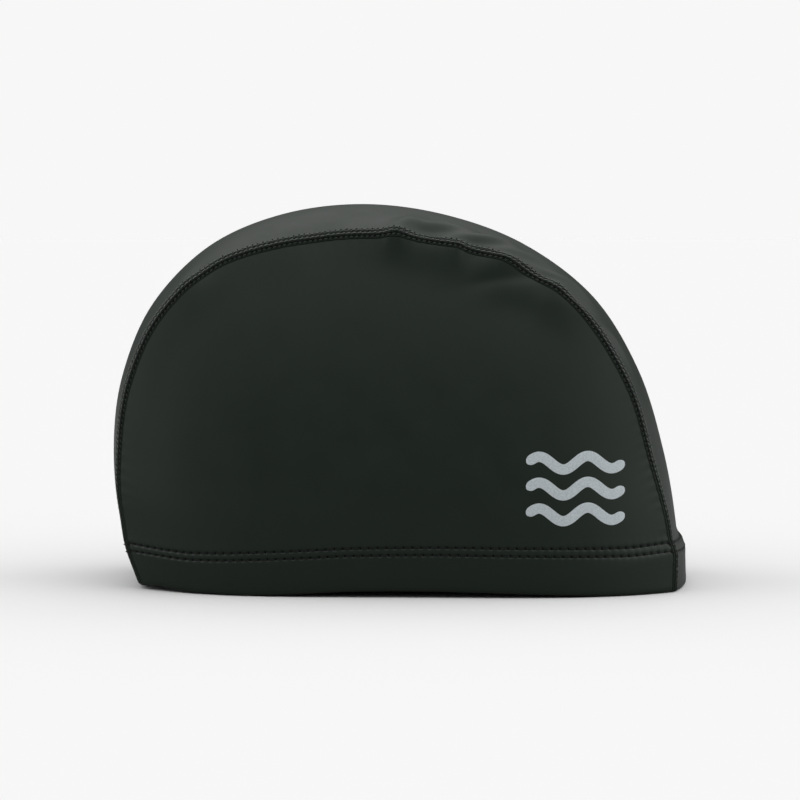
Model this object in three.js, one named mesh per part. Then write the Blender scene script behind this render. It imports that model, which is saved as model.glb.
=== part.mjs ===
// A three-panel swim cap of coated stretch fabric, standing open side down on its rim.
// A centre panel runs from the nape over the crown to the forehead, between two side panels.
// Flatlock seams of thread join the panels, and the rim is one hem, turned in and doubled.
// Millimetres, +Z up, +X to the forehead, -Y to the wearer's right, origin under the middle.
import * as THREE from "three";

// Fabric, hem and seams.
const WALL = 1.2;
const FOLD_GAP = 0.2;
const HEM_WALL = 2 * WALL + FOLD_GAP;
const HEM_HEIGHT = 19.5;
const HEM_STEP = 0.4;
const EDGE_ROUND = 0.8;
const EDGE_INSET = 0.6;
const SEAM_HALF_WIDTH = 2.3;
const SEAM_GAP = 0.5;
const SEAM_RAISE = 0.45;

// The hem stands out at both ends, fully up to foot and no more from top. atSeam is the seam's share of it.
const FRONT_FLARE = { out: 2.9, foot: 13.5, top: 21.7, atSeam: 0.65 };
const BACK_FLARE = { out: 3.0, foot: 12.0, top: 30.5, atSeam: 1 };
const FLARE_FROM = 40;
const FLARE_TO = 80;

// The side panels bulge to this half depth round a hub on the rim, and tuck in a little at the hem.
const HUB_X = 4;
const HALF_DEPTH = 60;
const BULGE_POWER_END = 4.0;
const BULGE_POWER_TOP = 2.5;
const TUCK = 2.5;
const TUCK_HEIGHT = 45;
const LEVEL_HEIGHT = 12;

// The cap's mid line from the rim at the nape to the rim at the forehead. halfWidth is from the mid line to
// the seam, and drop is how far the seam lies inside the mid line.
const STATIONS = [
  { x: -98.25, z: 0, halfWidth: 34.0, drop: 4.8 },
  { x: -107.55, z: 28.5, halfWidth: 37.0, drop: 4.5 },
  { x: -110.05, z: 54.5, halfWidth: 38.5, drop: 5.8 },
  { x: -106.45, z: 80.5, halfWidth: 39.5, drop: 6.4 },
  { x: -94.95, z: 107.0, halfWidth: 40.0, drop: 7.2 },
  { x: -73.45, z: 128.8, halfWidth: 40.0, drop: 8.2 },
  { x: -45.55, z: 140.9, halfWidth: 40.0, drop: 10.5 },
  { x: -14.25, z: 144.8, halfWidth: 40.0, drop: 10.7 },
  { x: 17.65, z: 140.6, halfWidth: 40.0, drop: 10.0 },
  { x: 47.85, z: 129.2, halfWidth: 40.0, drop: 7.6 },
  { x: 74.25, z: 109.0, halfWidth: 40.0, drop: 6.1 },
  { x: 91.45, z: 81.1, halfWidth: 39.5, drop: 5.0 },
  { x: 100.95, z: 51.0, halfWidth: 38.5, drop: 4.3 },
  { x: 105.85, z: 23.5, halfWidth: 37.0, drop: 2.9 },
  { x: 107.15, z: 0, halfWidth: 36.0, drop: 4.2 },
];
const LAST = STATIONS.length - 1;

// Puckers that the seams draw in the fabric. side is -1 for the wearer's right. station is a place between
// the stations above, across the distance from the seam, positive on the centre panel, and turn the angle
// to the seam's run in degrees. depth is how far a pucker sinks, below 0 where it stands out.
const PUCKERS = [
  { side: -1, station: 7.41, across: 0, long: 6, wide: 7, turn: 0, depth: -1.2 },
  { side: -1, station: 7.8, across: 0, long: 7, wide: 6, turn: 0, depth: 0.7 },
  { side: -1, station: 7.38, across: 14, long: 14, wide: 6, turn: 84, depth: -0.5 },
  { side: -1, station: 7.62, across: 15, long: 16, wide: 6, turn: 84, depth: 1.0 },
  { side: -1, station: 7.9, across: 9, long: 11, wide: 4, turn: 24, depth: -0.7 },
  { side: -1, station: 8.42, across: 8, long: 8, wide: 5, turn: 10, depth: 1.4 },
  { side: -1, station: 8.5, across: 0, long: 6, wide: 6, turn: 0, depth: 0.7 },
  { side: -1, station: 9.0, across: 19, long: 14, wide: 4.5, turn: 35, depth: -0.8 },
  { side: -1, station: 8.98, across: 0, long: 10, wide: 7, turn: 0, depth: -0.6 },
  { side: -1, station: 9.45, across: 17, long: 10, wide: 6, turn: 30, depth: 0.9 },
  { side: -1, station: 9.34, across: 0, long: 5, wide: 6, turn: 0, depth: 0.7 },
  { side: -1, station: 9.9, across: 22, long: 12, wide: 5, turn: 20, depth: -0.5 },
  { side: -1, station: 8.8, across: -8.5, long: 18, wide: 3.5, turn: 22, depth: -0.8 },
  { side: -1, station: 8.75, across: -4.5, long: 14, wide: 3.5, turn: 22, depth: 0.7 },
  { side: -1, station: 8.85, across: -16, long: 18, wide: 5, turn: 22, depth: 0.5 },
  { side: -1, station: 4.6, across: 6, long: 7, wide: 6, turn: 0, depth: -0.6 },
  { side: -1, station: 4.85, across: 2, long: 6, wide: 5, turn: 0, depth: 0.7 },
  { side: 1, station: 5.4, across: 8, long: 10, wide: 5, turn: 20, depth: 0.9 },
  { side: 1, station: 6.9, across: 0, long: 8, wide: 6, turn: 0, depth: -0.8 },
  { side: 1, station: 7.3, across: 10, long: 12, wide: 5, turn: 60, depth: 0.9 },
  { side: 1, station: 8.7, across: 7, long: 10, wide: 5, turn: -15, depth: 1.1 },
  { side: 1, station: 9.9, across: 0, long: 6, wide: 6, turn: 0, depth: 0.7 },
  { side: 1, station: 9.6, across: -9, long: 16, wide: 4, turn: 25, depth: -0.7 },
];

// The thicknesses of both panels run one way this near the seam, and each its own way beyond the reach.
const SHARED_NEAR = 3;
const SHARED_REACH = 14;

// Facets, and the heights of their rows through the hem and up to the top of the flares.
const STRIP_COLUMNS = 10;
const STRIP_ROWS = 56;
const PANEL_COLUMNS = 28;
const PANEL_ROWS = 12;
const CUFF_TOP = BACK_FLARE.top;
const HEM_LEVELS = [EDGE_ROUND, HEM_HEIGHT / 3, (2 * HEM_HEIGHT) / 3, HEM_HEIGHT];
const CUFF_LEVELS = [HEM_HEIGHT + HEM_STEP, (HEM_HEIGHT + CUFF_TOP) / 2, CUFF_TOP];

// Steps of the tables and searches, and a reach that lies beyond the seam from anywhere on a side panel.
const TABLE_STEPS = 720;
const RUN_STEPS = 10;
const SEARCH_STEPS = 40;
const STEP = 1e-3;
const BESIDE = 1;
const FAR = 200;

const clamp = THREE.MathUtils.clamp;
const lerp = THREE.MathUtils.lerp;
const smoothstep = THREE.MathUtils.smoothstep;

// A Catmull-Rom curve through one column of the stations, at a station number from 0 to LAST.
function stationValue(name, station) {
  const i = Math.min(Math.floor(station), LAST - 1);
  const f = station - i;
  const row = (k) => {
    if (k < 0) return 2 * STATIONS[0][name] - STATIONS[1][name];
    if (k > LAST) return 2 * STATIONS[LAST][name] - STATIONS[LAST - 1][name];
    return STATIONS[k][name];
  };
  const [a, b, c, d] = [row(i - 1), row(i), row(i + 1), row(i + 2)];
  const bend = 2 * a - 5 * b + 4 * c - d;
  const twist = 3 * b - a - 3 * c + d;
  return 0.5 * (2 * b + (c - a) * f + bend * f * f + twist * f * f * f);
}

function neighbours(station) {
  return [Math.min(station + STEP, LAST), Math.max(station - STEP, 0)];
}

// How far the hem stands out along X at a point of the cap's side view.
function flareAt(x, z, across) {
  const flare = x > 0 ? FRONT_FLARE : BACK_FLARE;
  const share = 1 - (1 - flare.atSeam) * across * across;
  const below = 1 - smoothstep(z, flare.foot, flare.top);
  return Math.sign(x) * flare.out * share * below * smoothstep(Math.abs(x), FLARE_FROM, FLARE_TO);
}

// The centre panel's outer face without puckers. across runs from -1 at the right seam to 1 at the left.
function stripPoint(station, across) {
  const [ahead, behind] = neighbours(station);
  const run = new THREE.Vector2(
    stationValue("x", ahead) - stationValue("x", behind),
    stationValue("z", ahead) - stationValue("z", behind),
  ).normalize();
  const mid = new THREE.Vector2(stationValue("x", station), stationValue("z", station));
  const out = new THREE.Vector2(-run.y, run.x);
  out.y *= smoothstep(mid.y, 0, HEM_HEIGHT + LEVEL_HEIGHT);
  out.normalize();
  mid.addScaledVector(out, -stationValue("drop", station) * across * across);
  const y = across * stationValue("halfWidth", station);
  return new THREE.Vector3(mid.x + flareAt(mid.x, mid.y, across), y, mid.y);
}

function stripNormal(station, across) {
  const [ahead, behind] = neighbours(station);
  const run = stripPoint(ahead, across).sub(stripPoint(behind, across));
  const side = stripPoint(station, across + STEP).sub(stripPoint(station, across - STEP));
  return levelled(run.cross(side).normalize(), stationValue("z", station));
}

// A normal is turned level near the rim, so that the rim's foot lies in one plane.
function levelled(normal, z) {
  normal.z *= smoothstep(z, 0, LEVEL_HEIGHT);
  return normal.normalize();
}

// The seam seen from the hub, from the forehead's rim round to the nape's.
const seamTable = Array.from({ length: TABLE_STEPS + 1 }, (_, i) => {
  const station = LAST * (1 - i / TABLE_STEPS);
  const p = stripPoint(station, 1);
  const angle = Math.atan2(p.z, p.x - HUB_X);
  return { angle, radius: Math.hypot(p.x - HUB_X, p.z), halfWidth: p.y, station };
});

function seamAtAngle(angle) {
  let low = 0;
  let high = TABLE_STEPS;
  while (high - low > 1) {
    const middle = (low + high) >> 1;
    if (seamTable[middle].angle <= angle) low = middle;
    else high = middle;
  }
  const [a, b] = [seamTable[low], seamTable[high]];
  const f = clamp((angle - a.angle) / (b.angle - a.angle), 0, 1);
  return {
    radius: lerp(a.radius, b.radius, f),
    halfWidth: lerp(a.halfWidth, b.halfWidth, f),
    station: lerp(a.station, b.station, f),
  };
}

function bulgePower(angle) {
  return lerp(BULGE_POWER_END, BULGE_POWER_TOP, Math.sin(angle));
}

// A side panel's half depth at a point of the side view, with its place beside the seam.
function panelAt(x, z) {
  const angle = Math.atan2(Math.max(z, 0), x - HUB_X);
  const seam = seamAtAngle(angle);
  const share = clamp(Math.hypot(x - HUB_X, z) / seam.radius, 0, 1);
  const tuck = TUCK * clamp(1 - z / TUCK_HEIGHT, 0, 1) ** 2 * (1 - share * share);
  const depth = HALF_DEPTH + (seam.halfWidth - HALF_DEPTH) * share ** bulgePower(angle) - tuck;
  return { depth, station: seam.station, across: -(1 - share) * seam.radius };
}

function panelNormal(x, z, side) {
  const slope = (dx, dz) =>
    (panelAt(x + dx, z + dz).depth - panelAt(x - dx, Math.max(z - dz, 0)).depth) / (2 * STEP);
  const normal = new THREE.Vector3(-slope(STEP, 0), side, -slope(0, STEP));
  return levelled(normal.normalize(), z);
}

// The place in the side view just inside the seam.
function besideSeam(seam) {
  const inward = 1 - BESIDE / Math.hypot(seam.x - HUB_X, seam.z);
  return [HUB_X + (seam.x - HUB_X) * inward, seam.z * inward];
}

// The direction that both fabrics share at the seam, between their two normals.
function seamNormal(station, side) {
  const seam = stripPoint(station, side);
  const onPanel = panelNormal(...besideSeam(seam), side);
  return levelled(onPanel.add(stripNormal(station, side * (1 - STEP))).normalize(), seam.z);
}

// Length along the seam, so that puckers are placed in millimetres.
const runTable = [0];
for (let i = 1; i <= LAST * RUN_STEPS; i += 1) {
  const length = stripPoint(i / RUN_STEPS, 1).distanceTo(stripPoint((i - 1) / RUN_STEPS, 1));
  runTable.push(runTable[i - 1] + length);
}

function runAt(station) {
  const i = Math.min(Math.floor(station * RUN_STEPS), runTable.length - 2);
  return lerp(runTable[i], runTable[i + 1], station * RUN_STEPS - i);
}

function puckerDepth(station, across, side) {
  let depth = 0;
  for (const p of PUCKERS.filter((row) => row.side === side)) {
    const turn = THREE.MathUtils.degToRad(p.turn);
    const along = runAt(station) - runAt(p.station);
    const over = across - p.across;
    const u = (along * Math.cos(turn) + over * Math.sin(turn)) / p.long;
    const v = (over * Math.cos(turn) - along * Math.sin(turn)) / p.wide;
    depth += p.depth * Math.exp(-u * u - v * v);
  }
  return depth;
}

// The way that the fabric's thickness runs, which both panels share beside the seam.
function throughFabric(normal, station, fromSeam, side) {
  const share = 1 - smoothstep(Math.abs(fromSeam), SHARED_NEAR, SHARED_REACH);
  return normal.lerp(seamNormal(station, side), share).normalize();
}

// The outer face's point and direction on the centre panel.
function stripFace(station, across) {
  const width = stationValue("halfWidth", station);
  const fromRight = (1 + across) * width;
  const fromLeft = (1 - across) * width;
  const side = across < 0 ? -1 : 1;
  const fromSeam = Math.min(fromRight, fromLeft);
  const normal = throughFabric(stripNormal(station, across), station, fromSeam, side);
  const depth = puckerDepth(station, fromRight, -1) + puckerDepth(station, fromLeft, 1);
  return { point: stripPoint(station, across).addScaledVector(normal, -depth), normal };
}

// The same on a side panel, at a point of the side view.
function panelFace(x, z, side) {
  const { depth, station, across } = panelAt(x, z);
  const normal = throughFabric(panelNormal(x, z, side), station, across, side);
  const point = new THREE.Vector3(x, side * depth, z);
  return { point: point.addScaledVector(normal, -puckerDepth(station, across, side)), normal };
}

// The outer and inner points of one cut through a hemmed sheet.
function hemmedCut(faces, isHem) {
  const outer = faces.map((face) => face.point.clone());
  const inner = faces.map((face, i) =>
    face.point.clone().addScaledVector(face.normal, -(isHem[i] ? HEM_WALL : WALL)),
  );
  return { outer, inner };
}

// The flat that the rim stands on, with the rim's edges taken off.
function foot(face) {
  const at = (inset) => face.point.clone().addScaledVector(face.normal, -inset).setZ(0);
  return { outer: at(EDGE_INSET), inner: at(HEM_WALL - EDGE_INSET) };
}

// A closed solid lofted through cuts, each a list of outer points and the same number of inner points.
function loftedSolid(cuts) {
  const size = cuts[0].outer.length;
  const loops = cuts.map((cut) => [...cut.outer, ...cut.inner.slice().reverse()]);
  const vertices = loops.flat().flatMap((p) => [p.x, p.y, p.z]);
  const count = 2 * size;
  const faces = [];
  const quad = (a, b, c, d) => faces.push([a, b, c], [a, c, d]);
  for (let j = 0; j < cuts.length - 1; j += 1) {
    for (let k = 0; k < count; k += 1) {
      const next = (k + 1) % count;
      quad(j * count + k, (j + 1) * count + k, (j + 1) * count + next, j * count + next);
    }
  }
  const end = (cuts.length - 1) * count;
  for (let k = 0; k < size - 1; k += 1) {
    quad(k, k + 1, count - 2 - k, count - 1 - k);
    quad(end + k, end + count - 1 - k, end + count - 2 - k, end + k + 1);
  }
  const geometry = new THREE.BufferGeometry();
  geometry.setAttribute("position", new THREE.Float32BufferAttribute(vertices, 3));
  geometry.setIndex((signedVolume(vertices, faces) < 0 ? turnedRound(faces) : faces).flat());
  geometry.computeVertexNormals();
  return geometry;
}

function signedVolume(vertices, faces) {
  const at = (i) => new THREE.Vector3().fromArray(vertices, 3 * i);
  return faces.reduce((sum, [a, b, c]) => sum + at(a).dot(at(b).cross(at(c))) / 6, 0);
}

function turnedRound(faces) {
  return faces.map(([a, b, c]) => [a, c, b]);
}

// The station on the nape's or the forehead's half at which the mid line reaches a height.
function stationAtHeight(z, front) {
  let low = 0;
  let high = LAST / 2;
  for (let i = 0; i < SEARCH_STEPS; i += 1) {
    const middle = (low + high) / 2;
    if (stationValue("z", front ? LAST - middle : middle) < z) low = middle;
    else high = middle;
  }
  return front ? LAST - low : low;
}

// Rows along the centre panel and the seams, closer together at the hems.
function archRows() {
  const levels = [...HEM_LEVELS, ...CUFF_LEVELS];
  const isHem = [...HEM_LEVELS.map(() => true), ...CUFF_LEVELS.map(() => false)];
  const back = levels.map((z, i) => ({ station: stationAtHeight(z, false), hem: isHem[i] }));
  const front = levels.map((z, i) => ({ station: stationAtHeight(z, true), hem: isHem[i] }));
  const [from, to] = [back.at(-1).station, front.at(-1).station];
  const middle = Array.from({ length: STRIP_ROWS - 1 }, (_, i) => ({
    station: lerp(from, to, (i + 1) / STRIP_ROWS),
    hem: false,
  }));
  return [...back, ...middle, ...front.reverse()];
}

function centrePanelGeometry() {
  const rows = archRows();
  const trim = SEAM_HALF_WIDTH + SEAM_GAP;
  const cuts = [];
  for (let j = 0; j <= STRIP_COLUMNS; j += 1) {
    const spread = (2 * j) / STRIP_COLUMNS - 1;
    const faceAt = (station) => {
      const slant = Math.hypot(stationValue("halfWidth", station), 2 * stationValue("drop", station));
      return stripFace(station, spread * (1 - trim / slant));
    };
    const { outer, inner } = hemmedCut(rows.map((row) => faceAt(row.station)), rows.map((row) => row.hem));
    const [backFoot, frontFoot] = [foot(faceAt(0)), foot(faceAt(LAST))];
    cuts.push({
      outer: [backFoot.outer, ...outer, frontFoot.outer],
      inner: [backFoot.inner, ...inner, frontFoot.inner],
    });
  }
  return loftedSolid(cuts);
}

// How far a side panel reaches from a point of the side view, kept clear of the seam.
function trimmedReach(fromX, fromZ, angle) {
  const trim = SEAM_HALF_WIDTH + SEAM_GAP;
  let low = 0;
  let high = FAR;
  for (let i = 0; i < SEARCH_STEPS; i += 1) {
    const middle = (low + high) / 2;
    const x = fromX + middle * Math.cos(angle);
    const z = fromZ + middle * Math.sin(angle);
    const hubAngle = Math.atan2(z, x - HUB_X);
    const seam = seamAtAngle(hubAngle);
    const slope = (bulgePower(hubAngle) * (HALF_DEPTH - seam.halfWidth)) / seam.radius;
    const reach = seam.radius - trim / Math.hypot(1, slope);
    if (Math.hypot(x - HUB_X, z) < reach) low = middle;
    else high = middle;
  }
  return low;
}

function sidePanelGeometry(side) {
  const backEnd = (z) => HUB_X - trimmedReach(HUB_X, z, Math.PI);
  const frontEnd = (z) => HUB_X + trimmedReach(HUB_X, z, 0);
  const middle = (backEnd(CUFF_TOP) + frontEnd(CUFF_TOP)) / 2;
  const cuts = [];
  for (let j = 0; j <= PANEL_COLUMNS; j += 1) {
    const u = (2 * j) / PANEL_COLUMNS - 1;
    const levelFace = (z) => panelFace(lerp(backEnd(z), frontEnd(z), (u + 1) / 2), z, side);
    const faces = [...HEM_LEVELS, ...CUFF_LEVELS].map(levelFace);
    // Above the cuff a square grid is mapped to the half round of the panel.
    for (let i = 1; i <= PANEL_ROWS; i += 1) {
      const v = i / PANEL_ROWS;
      const [a, b] = [u * Math.sqrt(1 - (v * v) / 2), v * Math.sqrt(1 - (u * u) / 2)];
      const angle = Math.atan2(b, a);
      const reach = Math.hypot(a, b) * trimmedReach(middle, CUFF_TOP, angle);
      const [x, z] = [middle + reach * Math.cos(angle), CUFF_TOP + reach * Math.sin(angle)];
      faces.push(panelFace(x, z, side));
    }
    const { outer, inner } = hemmedCut(faces, faces.map((_, i) => i < HEM_LEVELS.length));
    const rim = foot(levelFace(0));
    cuts.push({ outer: [rim.outer, ...outer], inner: [rim.inner, ...inner] });
  }
  return loftedSolid(cuts);
}

// The flatlock seam: a low ridge of thread that fills the space between two panels.
function seamGeometry(side) {
  const rows = [{ station: 0, hem: true }, ...archRows(), { station: LAST, hem: true }];
  const cuts = rows.map(({ station, hem }) => {
    const seam = stripPoint(station, side);
    const through = seamNormal(station, side);
    const centre = seam.clone().addScaledVector(through, -puckerDepth(station, 0, side));
    const towardsCrown = stripPoint(station, side * (1 - STEP)).sub(seam);
    const [x, z] = besideSeam(seam);
    const towardsHub = new THREE.Vector3(x, side * panelAt(x, z).depth, z).sub(seam);
    const edges = [towardsCrown, new THREE.Vector3(), towardsHub];
    for (const edge of [towardsCrown, towardsHub]) {
      edge.z *= smoothstep(seam.z, 0, LEVEL_HEIGHT);
      edge.setLength(SEAM_HALF_WIDTH);
    }
    const lifted = (height) =>
      edges.map((edge) => centre.clone().add(edge).addScaledVector(through, height));
    return { outer: lifted(SEAM_RAISE), inner: lifted(-(hem ? HEM_WALL : WALL) - SEAM_RAISE) };
  });
  return loftedSolid(cuts);
}

function piece(name, geometry, { color, roughness }) {
  const mesh = new THREE.Mesh(geometry, new THREE.MeshStandardMaterial({ color, roughness }));
  mesh.name = name;
  return mesh;
}

const COATED_FABRIC = { color: 0x2a2f2b, roughness: 0.5 };
const THREAD = { color: 0x161a17, roughness: 0.85 };

const cap = new THREE.Group();
cap.add(
  piece("centre_panel", centrePanelGeometry(), COATED_FABRIC),
  piece("side_panel_right", sidePanelGeometry(-1), COATED_FABRIC),
  piece("side_panel_left", sidePanelGeometry(1), COATED_FABRIC),
  piece("flatlock_seam_right", seamGeometry(-1), THREAD),
  piece("flatlock_seam_left", seamGeometry(1), THREAD),
);

export default cap;
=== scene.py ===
"""A swim cap of coated stretch fabric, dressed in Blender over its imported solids.

Two domed side panels and a centre panel meet in flatlock seams, and the rim is a folded hem held by two rows
of stitches. Shapes are worked out in millimetres, with +X to the forehead and -Y to the wearer's right, and
each mesh is made in metres.
"""

import math

import bmesh
import bpy
import numpy as np
from bpy.props import FloatProperty, FloatVectorProperty, PointerProperty
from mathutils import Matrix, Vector


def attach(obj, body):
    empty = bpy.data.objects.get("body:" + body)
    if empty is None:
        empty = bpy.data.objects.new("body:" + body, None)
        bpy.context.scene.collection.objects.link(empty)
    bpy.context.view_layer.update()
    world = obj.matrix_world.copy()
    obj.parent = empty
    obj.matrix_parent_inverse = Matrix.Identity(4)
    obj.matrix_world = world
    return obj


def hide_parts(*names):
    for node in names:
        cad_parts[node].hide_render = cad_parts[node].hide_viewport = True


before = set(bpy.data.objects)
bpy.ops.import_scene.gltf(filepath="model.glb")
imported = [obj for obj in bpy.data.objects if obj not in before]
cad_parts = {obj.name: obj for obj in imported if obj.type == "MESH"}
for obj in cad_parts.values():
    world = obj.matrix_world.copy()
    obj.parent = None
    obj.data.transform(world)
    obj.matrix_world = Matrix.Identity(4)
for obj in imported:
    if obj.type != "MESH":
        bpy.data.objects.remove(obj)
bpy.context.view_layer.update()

bl_info = {
    "name": "Swim cap",
    "version": (1, 0, 0),
    "blender": (4, 5, 0),
    "location": "3D View > Sidebar > Swim cap",
    "description": "Builds a coated stretch-fabric swim cap with flatlock seams and a stitched hem",
    "category": "Object",
}

MM = 0.001
RIGHT, LEFT = -1, 1
SIDES = {"right": RIGHT, "left": LEFT}
ENDS = ("nape", "forehead")

# Fabric, its turned-in hem and the flatlock seams.
WALL = 1.2
HEM_WALL = 2.6
HEM_HEIGHT = 19.5
HEM_STEP = 0.4
FOLD_RADIUS = HEM_WALL / 2
SEAM_HALF_WIDTH = 3.0
SEAM_LAP = 0.4
UPPER_ROW, LOWER_ROW = ROWS = 17.8, 14.8

# The cap's mid line from the rim at the nape to the rim at the forehead: x, z, half width from the mid line
# to the seam, and how far the seam lies inside the mid line.
STATIONS = np.array([
    (-98.25, 0, 34, 4.2), (-107.55, 28.5, 37, 4), (-110.05, 54.5, 38.5, 5.8), (-106.45, 80.5, 39.5, 6.4),
    (-94.95, 107, 40, 7.2), (-73.45, 128.8, 40, 8.2), (-45.55, 140.9, 40, 10.5), (-14.25, 144.8, 40, 10.7),
    (17.65, 140.6, 40, 10), (47.85, 129.2, 40, 7.6), (74.25, 109, 40, 6.1), (91.45, 81.1, 39.5, 5),
    (100.95, 51, 38.5, 5.2), (105.85, 23.5, 37, 3.2), (107.15, 0, 36, 4.2),
])
LAST = len(STATIONS) - 1

# How far the hem stands out at each end, up to which height it does so fully, from where no more, and the
# seam's share of it. Both set in between two distances along X from the middle.
FRONT_FLARE = (2.9, 13.5, 21.7, 0.65)
BACK_FLARE = (-2.0, 12.0, 30.5, 1.0)
FLARE_FROM, FLARE_TO = 40.0, 80.0

# Rows of points follow the hem up to this height.
CUFF_TOP = 30.5

# The side panels bulge round a hub on the rim, and tuck in a little towards the hem.
HUB_X = 4.0
HALF_DEPTH = 60.0
BULGE_POWER_END, BULGE_POWER_TOP = 4.0, 2.5
TUCK, TUCK_HEIGHT = 2.5, 45.0

# Below this height, the surface's directions turn level towards the rim.
LEVEL_HEIGHT = 12.0

# Puckers that each seam draws: station, distance from the seam, positive on the centre panel, half length,
# half width, angle to the seam in degrees, and how far the pucker sinks.
PUCKERS = {
    RIGHT: (
        (7.5, 0, 5, 6, 0, -1.2), (7.82, 0, 7, 6, 0, 0.3), (7.58, 9, 12, 4, 66, -1.6),
        (7.86, 5.5, 9, 4.5, 8, 2.2), (8, 11, 13, 4, 14, -2.2), (8.28, 0, 3, 6, 0, -0.6),
        (8.38, 0, 3, 6, 0, 0.5), (8.36, 4, 12, 3, 18, 1.5), (8.5, 0, 6, 6, 0, 0.4),
        (8.6, 10, 14, 3.5, 25, -2.6), (8.86, 4.5, 11, 3, 27, 1.7), (8.98, 0, 10, 7, 0, -0.6),
        (9.1, 10, 14, 3.5, 28, -2.6), (9.34, 0, 5, 6, 0, 0.5), (9.4, 4.5, 11, 3, 27, 1.7),
        (9.64, 10, 13, 3.5, 27, -2.6), (9.94, 4.5, 12, 3, 26, 1.1), (10.5, 10, 12, 4, 16, -1.3),
        (9, -5, 13, 2.4, 26, 0.65), (9.1, -10, 13, 4, 26, -0.3), (4.6, 6, 7, 6, 0, -0.6),
        (4.85, 2, 6, 5, 0, 0.7),
    ),
    LEFT: (
        (5.4, 8, 10, 5, 20, 0.9), (6.9, 0, 8, 6, 0, -0.8), (7.3, 10, 12, 5, 60, 0.9),
        (8.7, 7, 10, 5, -15, 1.1), (9.9, 0, 6, 6, 0, 0.7), (9.6, -9, 16, 4, 25, -0.7),
    ),
}

# How far the seams stand out from their smooth lines: x, and the distance on the right and on the left.
WANDER = np.array([
    (-110, 0.4, 0), (-95, 0.7, 0), (-80, 0.8, 0.2), (-62, 0.4, 0.5), (-51, 0.5, 0.9), (-42, 0.5, 0.2),
    (-32, 0, 0), (-15.6, 0.6, 0.7), (-6, 1.1, 1.1), (-1.7, 1.8, 0.6), (2.1, 2.2, 0.3), (5.6, 2.2, 0.8),
    (11, 2.3, 1.4), (21.8, 2.8, 1), (29.9, 1.8, 0.4), (40.5, 2.7, 1.2), (46.8, 1.3, 1.5), (54.9, 1.7, 0.6),
    (59.5, 2.7, 0.2), (66, 1.7, 0.7), (73, 0.5, 0.2), (82, 0, 0),
])

# How far from the seam these shifts are felt, on a side panel and on the centre panel.
WANDER_SIDE, WANDER_CENTRE = 9.0, 13.0

# The small gathers beside a seam: their pitch, their depth, and how far from the seam they reach.
PINCH_PITCH, PINCH_DEPTH, PINCH_REACH = 4.6, 0.09, 2.6

# The hem as sewn: x, the height of the upper row of stitches, and how far the rim arches off the ground.
HEM_LINE = np.array([
    (-106, 18.1, 0.6), (-98, 17.5, 0.9), (-94.5, 17, 1.6), (-91, 16.6, 2), (-87, 16.2, 1.2),
    (-78, 15.5, 0.4), (-62, 15.9, 0.1), (-50, 16.6, 0.2), (-37, 17.2, 0.9), (-18, 18.3, 2), (0, 18.7, 2.3),
    (18, 18.9, 2.2), (37, 18.6, 1.7), (55, 18.4, 1.1), (74, 18.1, 0.4), (88, 17.9, 0), (99, 18.8, 0),
    (103.5, 19.2, 0), (110, 16.9, 0),
])

# The thicknesses of both panels run one way this near the seam, and each its own way beyond the reach.
SHARED_NEAR, SHARED_REACH = 3.0, 14.0

# The panels stop this far short of the seam's line: in the hem, then a side panel and the centre panel above
# it, and the heights between which that changes.
TRIM_LOW, TRIM_SIDE, TRIM_CENTRE = 2.0, 2.4, 3.3
TRIM_FROM, TRIM_TO = 22.0, 95.0

# The radius that rounds a seam where its two panels meet.
SEAM_ROUNDING = 0.8

# An even scale along X, and how many of its steps even out the corners of WANDER and of HEM_LINE.
EVEN_X = np.linspace(-130, 130, 521)
WANDER_SPREAD, HEM_SPREAD = 4, 7

# Steps of the slopes, tables and searches, and a reach that lies beyond the seam from anywhere on a panel.
STEP = 1e-3
TABLE_SIZE = 2001
SEARCH_STEPS = 34
FAR = 200.0

# Rounds in which a place on the hem settles, since its height depends on its x.
HEM_ROUNDS = 3


def smoothstep(value, low, high):
    share = np.clip((value - low) / (high - low), 0, 1)
    return share * share * (3 - 2 * share)


def unit(vectors):
    return vectors / np.linalg.norm(vectors, axis=-1, keepdims=True)


def bell(distance, width):
    return np.exp(-((distance / width) ** 2))


# ---- the cap's surface


def station_values(station):
    """x, z, half width and drop, on a Catmull-Rom curve through the stations."""
    station = np.asarray(station, float)
    i = np.clip(np.floor(station).astype(int), 0, LAST - 1)
    f = (station - i)[..., None]
    rows = np.vstack([2 * STATIONS[0] - STATIONS[1], STATIONS, 2 * STATIONS[-1] - STATIONS[-2]])
    a, b, c, d = rows[i], rows[i + 1], rows[i + 2], rows[i + 3]
    bend = 2 * a - 5 * b + 4 * c - d
    twist = 3 * b - a - 3 * c + d
    return 0.5 * (2 * b + (c - a) * f + bend * f**2 + twist * f**3)


def flare_at(x, z, across):
    """How far the hem stands out along X at a place of the side view."""
    flare = 0.0
    for (out, foot, top, at_seam), ahead in ((FRONT_FLARE, x), (BACK_FLARE, -x)):
        share = 1 - (1 - at_seam) * across**2
        flare = flare + out * share * (1 - smoothstep(z, foot, top)) * smoothstep(ahead, FLARE_FROM, FLARE_TO)
    return flare


def alike(station, across):
    return np.broadcast_arrays(np.asarray(station, float), np.asarray(across, float))


def along_strip(station, values_at):
    """How values change from a step behind a station to a step ahead of it."""
    return values_at(np.minimum(station + STEP, LAST)) - values_at(np.maximum(station - STEP, 0))


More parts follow.
